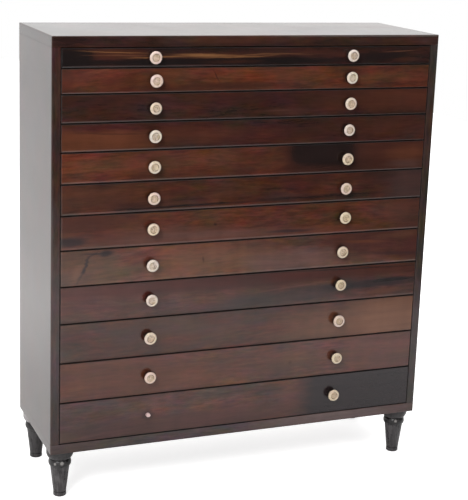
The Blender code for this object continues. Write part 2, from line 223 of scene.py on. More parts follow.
# %% [markdown]
# ## The studio
#
# The chest stood on a roll of white paper. Polished wood is a poor mirror, and much of what
# the photograph shows on it is the paper: the top and the left side are seen at a glancing
# angle, so they look pale grey, and the lower drawers carry a soft grey sheen that stops
# halfway up, where their mirror image of the paper ends and the dark room begins.
#
# So the paper here is a real floor with a real front edge, cut at a slant.

# %% Paper floor
PAPER_EDGE_LEFT = (-3.4, -4.92)
PAPER_EDGE_RIGHT = (3.0, 0.63)
PAPER_BACK = 7.0
PAPER_WHITE = (0.86, 0.86, 0.86, 1.0)
WHITE = (1, 1, 1, 1)
NEAR_CHEST = 0.5
AWAY_FROM_CHEST = 1.5
SEEN_LIFT = (0.72, 1.0)
MIRRORED_LIFT = (0.0, 0.5)
FAR_BEHIND = (1.7, 4.5)
FAR_LIFT = 0.17


def make_paper():
    """White paper that the camera sees as white, and that is a little dimmer by the chest."""
    material, tree, shader, place = new_material("white_paper")
    away = vector_maths("LENGTH", place).outputs["Value"]
    # The glow is painted light. It is weaker near the chest, a painted shade round it for the camera and
    # in the polish, and it grows brighter still in the polish far from the chest.
    seen = fade(away, NEAR_CHEST, AWAY_FROM_CHEST, *SEEN_LIFT)
    mirrored = fade(away, NEAR_CHEST, AWAY_FROM_CHEST, *MIRRORED_LIFT)
    mirrored = plus(mirrored, fade(away, *FAR_BEHIND, 0.0, FAR_LIFT))
    rays = put(tree, "ShaderNodeLightPath")
    by_camera = times(rays.outputs["Is Camera Ray"], seen)
    by_polish = times(rays.outputs["Is Glossy Ray"], mirrored)
    fill(shader, {
        "Base Color": PAPER_WHITE, "Roughness": 0.9, "Specular IOR Level": 0.2,
        "Emission Color": WHITE, "Emission Strength": plus(by_camera, by_polish),
    })
    return material


def make_paper_floor():
    mesh = bpy.data.meshes.new("paper_floor")
    front = [(*PAPER_EDGE_LEFT, 0), (*PAPER_EDGE_RIGHT, 0)]
    back = [(PAPER_EDGE_RIGHT[0], PAPER_BACK, 0), (PAPER_EDGE_LEFT[0], PAPER_BACK, 0)]
    mesh.from_pydata(front + back, [], [(0, 1, 2, 3)])
    mesh.materials.append(make_paper())
    floor = bpy.data.objects.new("paper_floor", mesh)
    scene.collection.objects.link(floor)


make_paper_floor()
print(f"The paper runs {PAPER_BACK} m behind the chest")

# %% [markdown]
# Beyond the paper the camera sees only an empty page, but the polish mirrors a room. The room is
# dark on the camera's side of the chest and pale behind it.

# %% World
ROOM_DARK = 0.10
ROOM_PALE = 0.92
MIRRORED_ROOM_PALE = 1.19
ROOM_TURNS_PALE = (-0.15, 0.35)


def make_world():
    world = bpy.data.worlds.new("studio")
    world.use_nodes = True
    tree = world.node_tree
    direction = put(tree, "ShaderNodeTexCoord").outputs["Generated"]
    rays = put(tree, "ShaderNodeLightPath")
    pale = fade(rays.outputs["Is Glossy Ray"], 0.0, 1.0, ROOM_PALE, MIRRORED_ROOM_PALE)
    behind = fade(parts(direction)["Y"], *ROOM_TURNS_PALE, ROOM_DARK, pale)
    inputs = {0: rays.outputs["Is Camera Ray"], 2: behind, 3: 1.0}
    strength = put(tree, "ShaderNodeMix", inputs, data_type="FLOAT")
    fill(tree.nodes["Background"], {"Strength": strength, "Color": WHITE})
    scene.world = world


make_world()
print(f"The room is {ROOM_PALE / ROOM_DARK:.0f} times as bright behind the chest as in front of it")

# %% [markdown]
# Three large soft lamps stand in for the studio's: one high on the left of the camera, a
# much weaker one on its right, and one overhead. The bone knobs tell where the light came from:
# their rims are brightest at the upper left. Large lamps give soft shadows, and their power is
# set so that a plain grey card on the chest would look as grey as it is.

# %% Lamps
CHEST_MIDDLE = Vector((0.0, 0.0, 0.50))


def add_lamp(name, place, width, height, power):
    data = bpy.data.lights.new(name, "AREA")
    data.shape = "RECTANGLE"
    data.size, data.size_y = width, height
    data.energy = power
    lamp = bpy.data.objects.new(name, data)
    lamp.location = place
    lamp.rotation_euler = (CHEST_MIDDLE - Vector(place)).to_track_quat("-Z", "Y").to_euler()
    scene.collection.objects.link(lamp)


add_lamp("lamp_left", (-2.2, -2.5, 2.6), 1.1, 1.1, 98)
add_lamp("lamp_right", (1.9, -2.6, 2.0), 1.0, 1.4, 10)
add_lamp("lamp_above", (0.1, 0.2, 3.1), 2.8, 2.0, 46)
print(f"{len(bpy.data.lights)} lamps point at the middle of the chest")

# %% [markdown]
# ## Mahogany
#
# Wood is a bundle of long fibres, so every pattern in it is drawn out along the grain. The
# group below starts from the place on the board, in metres, with the grain along X. It squeezes
# that space by a different amount on each axis before it asks for noise. Wide bands, clouds and
# ribbons choose between a dark and a light tone. Fine streaks then darken and lighten the
# result. A noise with a colour of its own turns patches of it redder, greener or greyer, as old
# polish does. Pores are short dark dashes. The same group serves every board, with other tones
# and another seed.

# %% Grain group
HUE_SWING = (2.1, 1.25, 2.5)
NOISE_MIDDLE = (0.5, 0.5, 0.5)
SWAY = 0.055
CONTRAST = 3.0


def make_grain_group():
    group, given = new_group("grain", "ShaderNodeTree", {
        "Vector": VECTOR, "Seed": 0.0, "Light Tone": (0.1, 0.04, 0.02, 1),
        "Dark Tone": (0.03, 0.015, 0.01, 1), "Cloud Tone": (0.05, 0.03, 0.02, 1), "Cloud Share": 0.0,
        "Bands": 0.65, "Streaks": 0.32, "Clouds": 0.6, "Ribbon": 0.2, "Hue": 0.9, "Pores": 0.4,
    }, {"Color": COLOUR, "Height": FLOAT, "Figure": FLOAT})
    place = vector_maths("ADD", given["Vector"], xyz(given["Seed"], 0, given["Seed"]))
    sway = minus(noise(stretch(place, (1.0, 0.6, 1.6)), 2.4), 0.5)
    place = vector_maths("ADD", place, xyz(0, 0, times(sway, SWAY)))
    bands = noise(place, (1.3, 16, 34), 3.0, 0.65)
    streaks = noise(place, (24, 80, 180), 4.0, 0.72)
    clouds = noise(place, (5, 6, 14), 3.0, 0.55)
    ribbon = noise(place, (38, 8, 5), 2.0, 0.5)
    pores = times(fade(noise(place, (55, 800, 1300), 1.0), 0.56, 0.68), given["Pores"])

    shade = 0.5
    for pattern, share in ((bands, "Bands"), (clouds, "Clouds"), (ribbon, "Ribbon")):
        swing = times(minus(pattern, 0.5), given[share])
        shade = maths("MULTIPLY_ADD", swing, CONTRAST, shade)
    shade = put(group, "ShaderNodeClamp", {0: minus(shade, times(pores, 0.5))})
    colour = blend(shade, given["Dark Tone"], given["Light Tone"])
    patches = fade(noise(place, (9, 9, 20), 3.0, 0.6), 0.45, 0.62)
    colour = blend(times(patches, given["Cloud Share"]), colour, given["Cloud Tone"])
    swing = times(fade(streaks, 0.28, 0.72, -1.0, 1.0), given["Streaks"])
    colour = scaled(colour, plus(swing, 1.0))
    hue = noise(place, (15, 20, 42), 4.0, 0.65).outputs["Color"]
    shift = stretch(vector_maths("SUBTRACT", hue, NOISE_MIDDLE), HUE_SWING)
    tint = vector_maths("ADD", scaled(shift, given["Hue"]), (1, 1, 1))
    colour = vector_maths("MULTIPLY", colour, tint)
    height = minus(times(streaks, 0.35), pores)
    put(group, "NodeGroupOutput", {"Color": colour, "Height": height, "Figure": shade})
    return group


grain_group = make_grain_group()
print(f"The grain group has {len(grain_group.nodes)} nodes")

# %% [markdown]
# ## Marks in the figure
#
# Some boards have a feature at one place: a black blotch, a gold streak, a slate grey end. A
# mark is a soft ellipse, given by its middle, half its length and height, and its turn. Noise
# pushes its outline about, further along the board than across it, so a thin mark becomes a
# wandering line and a broad one a stain. A power above two squares the ellipse, for a mark with
# blunt ends.

# %% Mark group
RAGGED_REACH = (2.6, 0, 1)


def make_mark_group():
    group, given = new_group("figure_mark", "ShaderNodeTree", {
        "Vector": VECTOR, "Middle": VECTOR, "Half Length": 0.1, "Half Height": 0.01, "Turn": 0.0,
        "Ragged": 0.004, "Softness": 0.4, "Squareness": 2.0, "Seed": 0.0,
    }, {"Mask": FLOAT})
    seeded = vector_maths("ADD", given["Vector"], xyz(0, given["Seed"], 0))
    push = noise(seeded, (14, 1, 46), 3.0).outputs["Color"]
    push = scaled(vector_maths("SUBTRACT", push, NOISE_MIDDLE), given["Ragged"])
    away = vector_maths("SUBTRACT", given["Vector"], given["Middle"])
    away = vector_maths("ADD", away, stretch(push, RAGGED_REACH))
    turned = put(group, "ShaderNodeVectorRotate", {
        "Vector": away, "Angle": given["Turn"], "Axis": (0, 1, 0),
    }, rotation_type="AXIS_ANGLE")
    along, _, across = parts(turned)
    power = given["Squareness"]
    total = 0.0
    for reach, half in ((along, "Half Length"), (across, "Half Height")):
        share = maths("ABSOLUTE", maths("DIVIDE", reach, given[half]))
        total = plus(total, maths("POWER", share, power))
    distance = maths("POWER", total, maths("DIVIDE", 1.0, power))
    start = minus(1.0, given["Softness"])
    end = plus(1.0, given["Softness"])
    put(group, "NodeGroupOutput", {"Mask": fade(distance, start, end, 1.0, 0.0)})
    return group


mark_group = make_mark_group()
print(f"The mark group has {len(mark_group.nodes)} nodes")

# %% [markdown]
# ## Edges
#
# Edges are where a board's age shows. Hands rub them round and pale. In the narrow gaps between
# drawers old wax and dirt settle on them, and there they are painted black, which is also painted
# shade of the gaps. On a board that lies square in space, a point is near an edge when two of its
# three distances to the board's sides are small. The middle one of the three distances therefore
# measures how far the point is from the nearest edge, whichever face it is on. The group turns it
# into a ragged mask for a colour, and into a height that falls away towards the edge, for a bump.
# The upper and right edges can be moved out of reach of the bump, because the drawer fronts are
# rubbed round at their lower and left edges only.

# %% Edge group
def middle_one(distances):
    """The middle one of a vector's three numbers."""
    x, y, z = parts(distances)
    smaller = maths("MINIMUM", x, y)
    larger = maths("MAXIMUM", x, y)
    return maths("MAXIMUM", smaller, maths("MINIMUM", larger, z))


def make_edge_group():
    group, given = new_group("edge", "ShaderNodeTree", {
        "Vector": VECTOR, "Low Corner": VECTOR, "High Corner": VECTOR, "Width": 0.0015, "Breaks": 0.5,
        "Round Width": 0.0048, "High Edges Spared": 0.0,
    }, {"Mask": FLOAT, "Fall": FLOAT})
    from_low = vector_maths("SUBTRACT", given["Vector"], given["Low Corner"])
    from_high = vector_maths("SUBTRACT", given["High Corner"], given["Vector"])
    middle = middle_one(vector_maths("MINIMUM", from_low, from_high))
    breaks = times(minus(noise(given["Vector"], 55.0, 4.0, 0.65), 0.5), given["Breaks"])
    reach = times(given["Width"], maths("MULTIPLY_ADD", breaks, 4.0, 1.0))
    mask = fade(middle, times(reach, 0.5), reach, 1.0, 0.0)
    spared = given["High Edges Spared"]
    from_high = vector_maths("ADD", from_high, xyz(spared, 0, spared))
    rounded = middle_one(vector_maths("MINIMUM", from_low, from_high))
    inside = put(group, "ShaderNodeClamp", {0: maths("DIVIDE", rounded, given["Round Width"])})
    fall = maths("POWER", minus(1.0, inside), 2.0)
    put(group, "NodeGroupOutput", {"Mask": mask, "Fall": fall})
    return group


edge_group = make_edge_group()
print(f"The edge group has {len(edge_group.nodes)} nodes")

# %% [markdown]
# ## Tones
#
# The tones are the colours of the wood itself, as the eye would read them without the sheen
# that lies over it. A few marks on the drawer fronts use them to paint shade and sheen, and the
# darkest one is also the painted shade in the gaps between drawers. The names are a cabinet maker's.

# %% Tones
TONES = {
    "fox": (98, 54, 33), "chestnut": (88, 48, 30), "russet": (76, 39, 26), "cocoa": (62, 32, 24),
    "umber": (48, 26, 21), "plum": (70, 42, 38), "rose": (96, 58, 50), "ebony": (22, 15, 15),
    "honey": (140, 96, 60), "tan": (106, 68, 48), "moss": (74, 54, 42), "slate": (36, 29, 32),
    "smoke": (60, 44, 42), "oxblood": (68, 33, 29), "worn": (120, 92, 78), "gap_shade_and_grime": (9, 5, 4),
    "briar": (90, 54, 44), "dusk": (49, 40, 39), "hazel": (104, 72, 56), "mist": (114, 86, 80),
    "wine": (52, 23, 18), "claret": (70, 18, 10),
}


def tone(name):
    return linear(TONES[name])


print(f"There are {len(TONES)} tones")

# %% [markdown]
# ## One finish for every board
#
# A board's finish stacks the three groups. The grain gives the first colour, each mark is laid
# over it with a tone of its own, and the edges come last. After its tone, a mark has its middle
# in hundredths of the board's width and height, its half length, half height and raggedness in
# millimetres, and its softness and strength in hundredths. A turn in degrees and a squareness
# may follow.
#
# The polish is not even: a slow noise makes it a little duller here and there. The bump is in
# metres, so its strength stays at one: pores and waves are hundredths of a millimetre deep, and
# a rounded edge falls away by almost one millimetre.

# %% Board finish
GRAIN_TURNS = {"X": (0, 0, 0), "Z": (0, math.radians(90), 0)}
PORE_DEPTH = 0.00003
WAVE_DEPTH = 0.00005
EDGE_DROP = 0.0008
EDGE_DULLNESS = 0.55
MARK_DIM = 0.72
MARK_BRIGHT = 1.28
Mark = namedtuple(
    "Mark", "tone at level half_length half_height ragged softness strength turn square", defaults=(0, 2),
)


def lay_mark(place, box, wood, colour, mark, seed):
    """Lays one mark over a colour, in its own tone with the wood's figure in it."""
    low, high = box
    middle = (low.x + (high.x - low.x) * mark.at / 100, low.y, low.z + (high.z - low.z) * mark.level / 100)
    spot = put(place.id_data, "ShaderNodeGroup", {
        "Vector": place, "Middle": middle, "Half Length": mark.half_length / 1000,
        "Half Height": mark.half_height / 1000, "Turn": math.radians(mark.turn),
        "Ragged": mark.ragged / 1000, "Softness": mark.softness / 100, "Squareness": mark.square,
        "Seed": seed,
    }, node_tree=mark_group)
    dim = [MARK_DIM * value for value in tone(mark.tone)[:3]]
    bright = [MARK_BRIGHT * value for value in tone(mark.tone)[:3]]
    shaded = blend(wood.outputs["Figure"], (*dim, 1), (*bright, 1))
    return blend(times(spot.outputs["Mask"], mark.strength / 100), colour, shaded)


def finish_wood(name, box, light, dark, seed, grain="X", marks=(), cloud_tone="plum", cloud_share=0.0,
                roughness=0.2, haze=0.16, edge_box=None, edge_tone="worn", edge_strength=0.4,
                edge_width=0.0016, spared=0.0, **grain_values):
    """A polished board's material: its grain, its marks, its edges and its polish."""
    material, tree, shader, place = new_material(name)
    turned = put(tree, "ShaderNodeMapping", {"Vector": place, "Rotation": GRAIN_TURNS[grain]})
    wood = put(tree, "ShaderNodeGroup", {
        "Vector": turned, "Seed": seed, "Light Tone": tone(light), "Dark Tone": tone(dark),
        "Cloud Tone": tone(cloud_tone), "Cloud Share": cloud_share, **grain_values,
    }, node_tree=grain_group)
    colour = wood.outputs["Color"]
    for index, mark in enumerate(marks):
        colour = lay_mark(place, box, wood, colour, Mark(*mark), seed + index)
    low_corner, high_corner = edge_box or box
    edges = put(tree, "ShaderNodeGroup", {
        "Vector": place, "Low Corner": low_corner, "High Corner": high_corner, "Width": edge_width,
        "High Edges Spared": spared,
    }, node_tree=edge_group)
    edge = times(edges.outputs["Mask"], edge_strength)
    dull = maths("MULTIPLY_ADD", minus(noise(place, (9, 9, 14), 4.0, 0.6), 0.5), haze, roughness)
    dull = maths("MULTIPLY_ADD", edge, EDGE_DULLNESS, dull)
    waves = noise(turned, (7, 30, 30))
    relief = times(wood.outputs["Height"], PORE_DEPTH)
    relief = maths("MULTIPLY_ADD", waves, WAVE_DEPTH, relief)
    relief = maths("MULTIPLY_ADD", edges.outputs["Fall"], -EDGE_DROP, relief)
    finish_shader(shader, blend(edge, colour, tone(edge_tone)), dull, relief)
    return material


def dress(node_name, material):
    nodes[node_name].material_slots[0].material = material


# %% [markdown]
# ## The case
#
# Top and bottom run full width over the sides, with the grain along them, and the sides have
# it upright. Their colour is hard to see under the glare, but the front edges show it: a dark
# brown on the top board and the sides, and a greyer, faded one on the bottom board. The joints
# between the boards are tight and polished over, so only the outer edges of the whole case are
# worn: all four boards measure their edges from one box, the case's. The marks are the stains
# and faded places on the front edges of the top and the bottom.

# %% Case boards
TONES.update({
    "case_brown": (64, 39, 30), "case_dark": (44, 25, 20), "case_grey": (66, 51, 48),
    "case_left": (61, 38, 32), "case_left_dark": (49, 30, 27), "case_right": (58, 45, 42),
    "case_right_dark": (46, 35, 33), "case_foot": (82, 62, 59), "case_foot_dark": (60, 47, 47),
    "rose_grey": (104, 84, 82),
})
CASE_MARKS = {
    "carcase_top": [
        ("ebony", 3, 50, 35, 12, 20, 70, 60), ("chestnut", 42, 60, 110, 7, 20, 80, 40),
        ("umber", 25, 20, 120, 4, 10, 80, 60), ("umber", 72, 20, 200, 4, 10, 80, 50),
    ],
    "carcase_bottom": [
        ("smoke", 3, 50, 90, 20, 30, 80, 70), ("rose_grey", 76, 50, 140, 20, 30, 80, 80),
    ],
}
CASE_BOARDS = (
    ("carcase_top", "case_brown", "case_dark", "X", 3.1),
    ("carcase_bottom", "case_foot", "case_foot_dark", "X", 5.7),
    ("carcase_side_left", "case_left", "case_left_dark", "Z", 8.2),
    ("carcase_side_right", "case_right", "case_right_dark", "Z", 11.4),
)
case_box = (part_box("carcase_bottom")[0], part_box("carcase_top")[1])
for node_name, light, dark, grain, seed in CASE_BOARDS:
    finish = finish_wood(
        node_name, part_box(node_name), light, dark, seed, grain, cloud_tone="case_grey",
        cloud_share=0.3, haze=0.08, edge_box=case_box, edge_strength=0.1,
        marks=CASE_MARKS.get(node_name, ()),
    )
    dress(node_name, finish)
print(f"{len(CASE_BOARDS)} case boards are polished")

# %% [markdown]
# ## The drawer fronts
#
# Each front is described as a cabinet maker would: its light and dark tones, the tone of its
# clouds and how much they cover, and the marks that make it unlike the others, placed from its
# lower left corner. Last come the dark patches round its knobs, dirt and painted shadow.

# %% Drawer fronts
Front = namedtuple("Front", "light dark cloud cloud_share marks")
FRONTS = {
    1: Front("umber", "ebony", "cocoa", 0.5, [
        ("cocoa", 50, 60, 320, 7, 6, 80, 40), ("russet", 12, 72, 70, 8, 8, 60, 70, -2),
        ("russet", 42, 56, 100, 5, 8, 70, 55), ("ebony", 3, 38, 42, 21, 14, 30, 93, 0, 3),
        ("ebony", 28, 24, 220, 5.8, 6, 50, 90), ("ebony", 58, 26, 150, 6.2, 6, 50, 90),
        ("ebony", 85, 44, 58, 8.5, 10, 50, 80), ("honey", 13, 77, 50, 1, 6, 90, 60, -2.2),
        ("tan", 15, 60, 54, 1.1, 8, 90, 60, -1.6), ("honey", 25, 50, 55, 1, 8, 90, 70),
        ("honey", 36.5, 57, 50, 2.4, 10, 80, 80), ("honey", 45, 49, 60, 1.1, 10, 90, 70, 1.2),
        ("honey", 51, 60, 65, 1.2, 10, 90, 40, 0.5), ("tan", 60, 61, 60, 1, 8, 90, 45),
        # The thin smoke line low on the first front is a painted sheen.
        ("tan", 91, 70, 30, 1, 3, 90, 50, 2), ("smoke", 16, 8, 140, 1, 2, 90, 60),
        ("umber", 54, 74, 40, 5, 6, 80, 50), ("umber", 69, 52, 35, 6, 6, 80, 50),
        ("russet", 44, 24, 50, 3, 4, 80, 40), ("russet", 93, 24, 30, 4, 4, 80, 40),
    ]),
    2: Front("fox", "russet", "cocoa", 0.3, [
        ("cocoa", 0, 50, 20, 30, 12, 50, 60), ("cocoa", 37, 18, 140, 9, 14, 70, 70),
        ("cocoa", 15, 42, 50, 12, 14, 80, 55), ("honey", 88, 50, 100, 6, 14, 90, 12),
        ("fox", 28, 66, 40, 10, 14, 80, 45), ("fox", 60, 62, 40, 12, 14, 80, 40),
        ("umber", 95, 16, 60, 5, 8, 80, 50), ("plum", 4, 75, 35, 14, 10, 80, 50),
        ("umber", 44, 22, 50, 6, 10, 80, 40), ("umber", 39.5, 62, 12, 1.2, 4, 80, 70, -58),
    ]),
    3: Front("cocoa", "umber", "plum", 0.3, [
        ("russet", 90, 62, 160, 20, 20, 60, 75, 0, 3), ("umber", 38, 78, 250, 10, 20, 80, 50),
        ("rose", 60, 25, 45, 6, 10, 80, 30), ("rose", 56.5, 27, 28, 1.6, 3, 80, 40),
    ]),
    4: Front("cocoa", "umber", "plum", 0.25, [
        ("fox", 9, 34, 120, 20, 20, 45, 80, 0, 3), ("russet", 63, 45, 80, 12, 20, 80, 40),
        ("russet", 88, 62, 100, 18, 20, 80, 50), ("umber", 45, 50, 35, 10, 20, 80, 45),
        ("russet", 33, 50, 90, 14, 20, 80, 70), ("umber", 13, 62, 70, 1.6, 8, 80, 50, -2),
    ]),
    5: Front("chestnut", "russet", "fox", 0.4, [
        ("cocoa", 83, 50, 190, 50, 20, 20, 90, 0, 6), ("chestnut", 95, 58, 45, 16, 20, 60, 60),
        ("cocoa", 37, 18, 160, 12, 20, 70, 50), ("tan", 20, 60, 120, 14, 20, 80, 30),
        ("tan", 44, 80, 35, 10, 10, 80, 30), ("cocoa", 52, 56, 45, 14, 20, 80, 50),
        ("mist", 95, 20, 40, 8, 10, 80, 25), ("umber", 71, 60, 78, 34, 12, 35, 80, -3, 4),
        ("ebony", 70, 84, 70, 32, 8, 20, 80, -3, 4),
    ]),
    6: Front("russet", "umber", "chestnut", 0.35, [
        ("chestnut", 7, 55, 160, 20, 20, 60, 60), ("smoke", 97, 50, 70, 50, 30, 50, 80, 0, 3),
        ("umber", 84, 86, 60, 12, 20, 70, 70), ("smoke", 60, 24, 40, 8, 10, 80, 60),
        ("umber", 68, 80, 45, 10, 10, 80, 45), ("smoke", 27, 24, 45, 8, 10, 80, 30),
        ("chestnut", 44, 52, 40, 12, 20, 80, 40), ("ebony", 33, 13, 130, 2.2, 5, 80, 75, 0.6),
        ("ebony", 67, 20, 120, 3, 6, 80, 60, 0.6),
    ]),
    7: Front("chestnut", "russet", "plum", 0.25, [
        ("rose", 25, 25, 200, 16, 30, 70, 55), ("cocoa", 5, 80, 100, 20, 30, 70, 90),
        ("rose", 42, 12, 300, 9, 20, 70, 45), ("slate", 2, 25, 30, 9, 14, 45, 85, 0, 3),
        ("slate", 61, 17, 45, 3, 6, 70, 75), ("ebony", 40.5, 52, 3.5, 2.5, 3, 60, 60),
        ("plum", 98, 50, 50, 40, 20, 50, 60), ("rose", 92, 70, 45, 16, 20, 80, 40),
        ("mist", 37, 22, 130, 7, 10, 80, 25),
    ]),
    # On the eighth front the two mist marks are a painted sheen, where its polish mirrors more of the
    # paper.
    8: Front("tan", "plum", "rose", 0.5, [
        ("tan", 40, 50, 120, 40, 40, 70, 50), ("moss", 5, 50, 70, 50, 20, 40, 60, 0, 3),
        ("oxblood", 94, 72, 175, 42, 12, 25, 77, -9, 4), ("fox", 83, 72, 45, 2.8, 6, 80, 60, -3),
        ("tan", 94, 86, 45, 7, 10, 80, 40), ("rose", 84, 22, 35, 8, 10, 80, 50),
        ("mist", 64, 30, 95, 19, 20, 60, 65), ("mist", 48, 62, 110, 18, 20, 80, 20),
        ("cocoa", 20, 42, 45, 24, 20, 80, 30), ("slate", 11.6, 86, 14, 6.2, 12, 50, 85),
        ("slate", 8.5, 88, 26, 2, 12, 70, 70), ("slate", 6.2, 47, 34, 3.4, 18, 60, 95, 55),
        ("hazel", 4.2, 32, 22, 7.5, 12, 80, 50, 55), ("umber", 37.5, 50, 1.8, 6, 3, 80, 50),
        ("slate", 93, 30, 70, 3.5, 6, 80, 45, -3),
    ]),
    # On the ninth front the long cocoa, wine and claret marks along the top are painted shade, where its
    # polish mirrors less of the paper.
    9: Front("briar", "cocoa", "plum", 0.35, [
        ("cocoa", 38, 92, 340, 19, 20, 60, 75), ("russet", 78, 86, 200, 13, 10, 50, 85),
        ("wine", 34, 84, 380, 12, 20, 70, 40), ("wine", 55, 80, 120, 16, 20, 70, 70),
        ("claret", 40, 84, 360, 14, 20, 70, 60), ("umber", 52, 82, 35, 10, 10, 80, 50),
        ("claret", 7, 45, 80, 22, 20, 80, 45), ("dusk", 61, 26, 150, 17, 14, 50, 75, 3),
        ("slate", 86, 45, 115, 9.5, 14, 50, 85, 1), ("ebony", 93, 52, 45, 4, 6, 50, 75, 1),
        ("rose", 62, 52, 85, 1.2, 3, 90, 50, 4), ("chestnut", 92, 20, 50, 5, 8, 60, 60),
        ("ebony", 80, 93, 150, 1.4, 4, 80, 60, -1),
    ]),
    10: Front("russet", "cocoa", "smoke", 0.45, [
        ("tan", 100, 45, 135, 60, 30, 35, 95, 0, 3), ("tan", 74, 40, 100, 34, 30, 70, 60),
        ("fox", 36, 55, 80, 30, 30, 80, 30), ("cocoa", 20, 50, 60, 30, 30, 80, 45),
        ("tan", 80, 18, 140, 12, 20, 80, 30),
    ]),
    11: Front("briar", "plum", "chestnut", 0.3, [
        ("fox", 28, 35, 150, 25, 30, 70, 50), ("chestnut", 10, 60, 170, 45, 30, 70, 55),
        ("smoke", 60, 33, 30, 14, 20, 70, 75), ("ebony", 63.3, 44, 3.5, 3, 3, 60, 60),
        ("rose", 92, 55, 90, 50, 30, 60, 60), ("tan", 63, 48, 90, 24, 30, 80, 40),
    ]),
    12: Front("rose", "smoke", "plum", 0.4, [
        ("plum", 34, 18, 300, 24, 20, 70, 85), ("moss", 2, 16, 26, 11, 12, 60, 60),
        ("rose", 65, 62, 35, 26, 20, 80, 50), ("slate", 92, 50, 185, 100, 20, 15, 95, -6, 4),
    ]),
}
# Each knob gets a dark patch, dirt at its foot and its painted shadow. The broken stub's patch is weaker.
KNOB_SHADE_AND_DIRT = Mark("ebony", 0, 0, 11, 11, 4, 50, 88)
STUB_SHADE_AND_DIRT = KNOB_SHADE_AND_DIRT._replace(strength=50)
OUT_OF_REACH = 0.05
FIRST_FRONT_SEED = 20.0
FRONT_SEED_STEP = 3.3


def shade_and_dirt_round_knobs(number, front_box):
    """Dark patches round each knob: old wax and dirt at its foot, and the knob's painted shadow."""
    low, high = front_box
    marks = []
    for side in ("left", "right"):
        knob_low, knob_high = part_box(f"drawer_{number:02d}_knob_{side}")
        middle = (knob_low + knob_high) / 2
        at = 100 * (middle.x - low.x) / (high.x - low.x)
        level = 100 * (middle.z - low.z) / (high.z - low.z)
        # The patch is part dirt and part painted shadow of the knob.
        smudge = STUB_SHADE_AND_DIRT if side == "left" and number == len(FRONTS) else KNOB_SHADE_AND_DIRT
        marks.append(smudge._replace(at=at, level=level))
    return marks


for number, front in FRONTS.items():
    node_name = f"drawer_{number:02d}_front"
    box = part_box(node_name)
    # The fronts' edges are painted nearly black: grime, and painted shade of the gaps between the drawers.
    finish = finish_wood(
        node_name, box, front.light, front.dark, FIRST_FRONT_SEED + FRONT_SEED_STEP * number,
        marks=front.marks + shade_and_dirt_round_knobs(number, box), cloud_tone=front.cloud,
        cloud_share=front.cloud_share, edge_tone="gap_shade_and_grime", edge_strength=0.9, edge_width=0.0015,
        spared=OUT_OF_REACH,
    )
    dress(node_name, finish)
print(f"{len(FRONTS)} drawer fronts have their own figure")

# %% [markdown]
# ## The insides and the back
#
# Where no hand polished it, the wood is bare. The trays are pale oak, and the back is pine
# boards that have darkened and dried, with the rusty heads of the nails that hold them and dark
# cracks where they meet. Both use the grain group again, with rougher surfaces.

# %% Trays and back
TONES.update({
    "oak_light": (176, 138, 96), "oak_dark": (136, 100, 66), "pine_light": (134, 100, 68),
    "pine_dark": (92, 66, 46), "pine_edge": (150, 118, 84), "rust": (44, 26, 20),
    "dust": (40, 30, 24),
})
NAIL_RADIUS_MM = 2.6
FIRST_TRAY_SEED = 70.0
FIRST_BACK_SEED = 90.0
for number in FRONTS:
    node_name = f"drawer_{number:02d}_tray"
    finish = finish_wood(
        node_name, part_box(node_name), "oak_light", "oak_dark", FIRST_TRAY_SEED + number,
        roughness=0.6, edge_tone="oak_light", edge_strength=0.2, Hue=0.12, Streaks=0.2,
    )
    dress(node_name, finish)
nails = [
    ("rust", at, level, NAIL_RADIUS_MM, NAIL_RADIUS_MM, 0.6, 25, 90)
    for at in (12, 50, 88) for level in (0.9, 99.1)
]
cracks = [("dust", at, 50, 1.1, 500, 0.5, 30, 90, 0, 3) for at in (0, 100)]
for index, side in enumerate(("left", "middle", "right")):
    node_name = f"back_board_{side}"
    finish = finish_wood(
        node_name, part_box(node_name), "pine_light", "pine_dark", FIRST_BACK_SEED + index, "Z",
        marks=nails + cracks, roughness=0.75, edge_tone="pine_edge", edge_strength=0.2, Hue=0.2,
        Streaks=0.25,
    )
    dress(node_name, finish)
print(f"{len(FRONTS)} trays are oak, and the three back boards are pine")

# %% [markdown]
# ## A lathe made of geometry nodes
#
# A turned piece is one outline swept round an axis. The lathe group takes the outline as a
# chain of points, with the radius in X and the height in Z. It lays out a grid with one column
# for each step round and one row for each point of the outline, looks up the row's point, and
# bends the grid into a ring. Merging closes the seam and the poles. It also writes down each
# point's radius and height, so that a finish can darken a groove or pale a rim.

# %% Lathe group
MERGE_REACH = 0.00001


def make_lathe_group():
    tree, given = new_group(
        "lathe", "GeometryNodeTree", {"Outline": GEOMETRY, "Steps": 64}, {"Geometry": GEOMETRY},
    )
    outline = given["Outline"]
    count = put(tree, "GeometryNodeAttributeDomainSize", {0: outline}).outputs["Point Count"]
    shape = put(tree, "GeometryNodeMeshGrid", {
        "Size X": 1.0, "Size Y": 1.0, "Vertices X": plus(given["Steps"], 1.0), "Vertices Y": count,
    })
    position = put(tree, "GeometryNodeInputPosition")
    flat_x, flat_y, _ = parts(position)
    angle = times(plus(flat_x, 0.5), 2 * math.pi)
    row = times(plus(flat_y, 0.5), minus(count, 1.0))
    point = put(tree, "GeometryNodeSampleIndex", {
        "Geometry": outline, "Index": maths("ROUND", row), "Value": position,
    }, data_type="FLOAT_VECTOR", domain="POINT")
    radius, _, height = parts(point)
    for name, value in (("turn_radius", radius), ("turn_height", height)):
        shape = put(
            tree, "GeometryNodeStoreNamedAttribute", {"Geometry": shape, "Name": name, "Value": value},
            data_type="FLOAT", domain="POINT",
        )
    x = times(radius, maths("COSINE", angle))
    y = times(radius, maths("SINE", angle))
    shape = put(tree, "GeometryNodeSetPosition", {"Geometry": shape, "Position": xyz(x, y, height)})
    shape = put(tree, "GeometryNodeMergeByDistance", {"Geometry": shape, "Distance": MERGE_REACH})
    shape = put(tree, "GeometryNodeSetShadeSmooth", {"Geometry": shape})
    put(tree, "NodeGroupOutput", {"Geometry": shape})
    return tree


